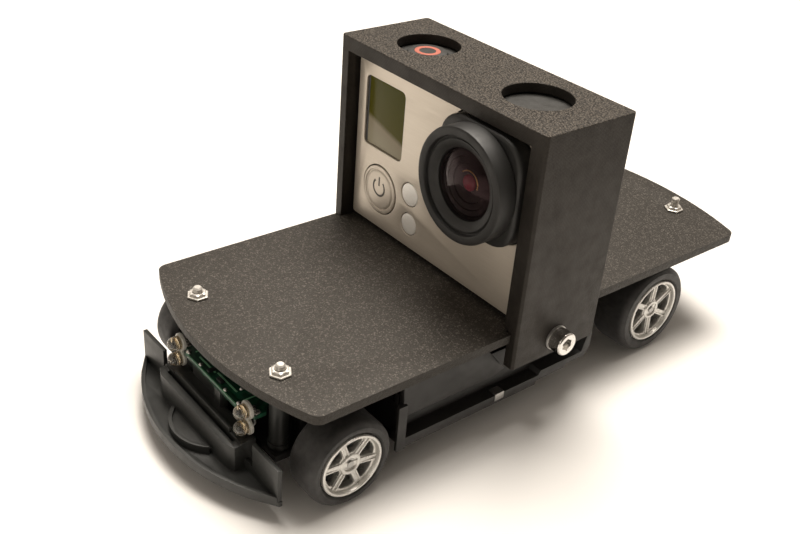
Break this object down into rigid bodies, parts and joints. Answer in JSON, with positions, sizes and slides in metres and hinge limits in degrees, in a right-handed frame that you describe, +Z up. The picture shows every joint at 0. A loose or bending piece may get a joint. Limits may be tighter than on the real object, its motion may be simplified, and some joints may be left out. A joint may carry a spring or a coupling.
{
  "type": "camera car",
  "caption": "Small radio-controlled car chassis with a flat deck, a bridge-shaped cage holding a forward-looking action camera, steered front wheels and a geared rear axle.",
  "frame": {"origin": "on the ground under the middle of the whole object's box", "axes": "+Z up, -Y towards the car's front where the camera looks, +X towards the car's left"},
  "size_m": [0.0726, 0.149, 0.0706],
  "materials": {
    "deck_sheet": "matt black sheet with an orange-peel grain and fine sparkle",
    "printed_cage": "black 3-D print with fine layer lines on its sides and a grainy top",
    "moulded_black": "satin black moulding",
    "servo_case": "smooth black",
    "nylon": "natural nylon",
    "brass": "turned",
    "circuit_board": "green solder mask",
    "camera_case": "dark grey soft-touch",
    "camera_silver": "warm silver satin paint",
    "lens_black": "satin black",
    "lens_glass": "coated dark glass",
    "screen": "grey-green liquid crystal window",
    "status_window": "milky white",
    "shutter_black": "dark grey with a red ring",
    "motor_can": "plated can",
    "steel": "bright stainless",
    "bar_aluminium": "turned",
    "tyre": "matt rubber",
    "rim_silver": "silver with brighter lip",
    "cell_wrap": "plain printed sleeve",
    "lamp_clear": "clear resin"
  },
  "bodies": {
    "chassis": {"deck": "deck_sheet", "camera_cage": "printed_cage", "main_chassis": "moulded_black", "left_side_skirt": "moulded_black", "right_side_skirt": "moulded_black", "front_bumper": "moulded_black", "upper_arm": "moulded_black", "motor_pod": "moulded_black", "rear_frame": "moulded_black", "steering_servo": "servo_case", "receiver_board": "circuit_board", "light_board": "circuit_board", "camera_body": "camera_case", "camera_face": "camera_silver", "lens_housing": "lens_black", "lens_ring": "lens_black", "lens_glass": "lens_glass", "screen_window": "screen", "upper_status_window": "status_window", "lower_status_window": "status_window", "drive_motor": "motor_can", "left_kingpin": "steel", "right_kingpin": "steel", "left_cage_screw": "steel", "right_cage_screw": "steel", "cross_bar": "bar_aluminium", "front_left_deck_post": "moulded_black", "front_left_deck_nut": "steel", "front_right_deck_post": "moulded_black", "front_right_deck_nut": "steel", "rear_left_deck_post": "moulded_black", "rear_left_deck_nut": "steel", "rear_right_deck_post": "moulded_black", "rear_right_deck_nut": "steel", "left_inner_cell": "cell_wrap", "left_outer_cell": "cell_wrap", "left_upper_lamp": "lamp_clear", "left_lower_lamp": "lamp_clear", "right_inner_cell": "cell_wrap", "right_outer_cell": "cell_wrap", "right_upper_lamp": "lamp_clear", "right_lower_lamp": "lamp_clear"},
    "left_knuckle": {"left_knuckle": "moulded_black"},
    "right_knuckle": {"right_knuckle": "moulded_black"},
    "front_left_wheel": {"front_left_tyre": "tyre", "front_left_rim": "rim_silver"},
    "front_right_wheel": {"front_right_tyre": "tyre", "front_right_rim": "rim_silver"},
    "tie_rod": {"tie_rod": "moulded_black"},
    "servo_horn": {"servo_horn": "nylon"},
    "rear_drive": {"rear_axle": "steel", "spur_gear": "nylon", "rear_left_tyre": "tyre", "rear_left_rim": "rim_silver", "rear_right_tyre": "tyre", "rear_right_rim": "rim_silver"},
    "motor_pinion": {"motor_pinion": "brass"},
    "mode_button": {"mode_button": "camera_silver"},
    "shutter_button": {"shutter_button": "shutter_black"},
    "power_switch": {"power_switch": "servo_case"}
  },
  "joints": [
    {"name": "left_steer", "type": "hinge", "parent": "chassis", "child": "left_knuckle", "pos_m": [0.02, -0.05065, 0.0098], "axis": [0, 0, 1], "range_deg": [-18, 18]},
    {"name": "right_steer", "type": "hinge", "parent": "chassis", "child": "right_knuckle", "pos_m": [-0.02, -0.05065, 0.0098], "axis": [0, 0, 1], "range_deg": [-18, 18]},
    {"name": "tie_rod_slide", "type": "slide", "parent": "chassis", "child": "tie_rod", "axis": [1, 0, 0], "range_m": [-0.0019, 0.0019]},
    {"name": "servo_horn_turn", "type": "hinge", "parent": "chassis", "child": "servo_horn", "pos_m": [0, -0.04375, 0.0104], "axis": [0, 1, 0], "range_deg": [-28, 28]},
    {"name": "front_left_spin", "type": "hinge", "parent": "left_knuckle", "child": "front_left_wheel", "pos_m": [0.0273, -0.05065, 0.0098], "axis": [1, 0, 0], "continuous": true},
    {"name": "front_right_spin", "type": "hinge", "parent": "right_knuckle", "child": "front_right_wheel", "pos_m": [-0.0273, -0.05065, 0.0098], "axis": [1, 0, 0], "continuous": true},
    {"name": "rear_spin", "type": "hinge", "parent": "chassis", "child": "rear_drive", "pos_m": [0, 0.04215, 0.0113], "axis": [1, 0, 0], "continuous": true},
    {"name": "pinion_spin", "type": "hinge", "parent": "chassis", "child": "motor_pinion", "pos_m": [0.0166, 0.03069, 0.0123], "axis": [1, 0, 0], "continuous": true},
    {"name": "mode_button_press", "type": "slide", "parent": "chassis", "child": "mode_button", "axis": [0, 1, 0], "range_m": [0, 0.0005], "stiffness_N_per_m": 600},
    {"name": "shutter_press", "type": "slide", "parent": "chassis", "child": "shutter_button", "axis": [0, 0, -1], "range_m": [0, 0.0006], "stiffness_N_per_m": 600},
    {"name": "power_switch_slide", "type": "slide", "parent": "chassis", "child": "power_switch", "axis": [1, 0, 0], "range_m": [0, 0.003]}
  ],
  "couplings": [
    {"joint": "right_steer", "follows": "left_steer", "ratio": 1},
    {"joint": "tie_rod_slide", "follows": "left_steer", "m_per_rad": -0.006},
    {"joint": "servo_horn_turn", "follows": "left_steer", "ratio": -1.5385},
    {"joint": "pinion_spin", "follows": "rear_spin", "ratio": -3.6}
  ]
}
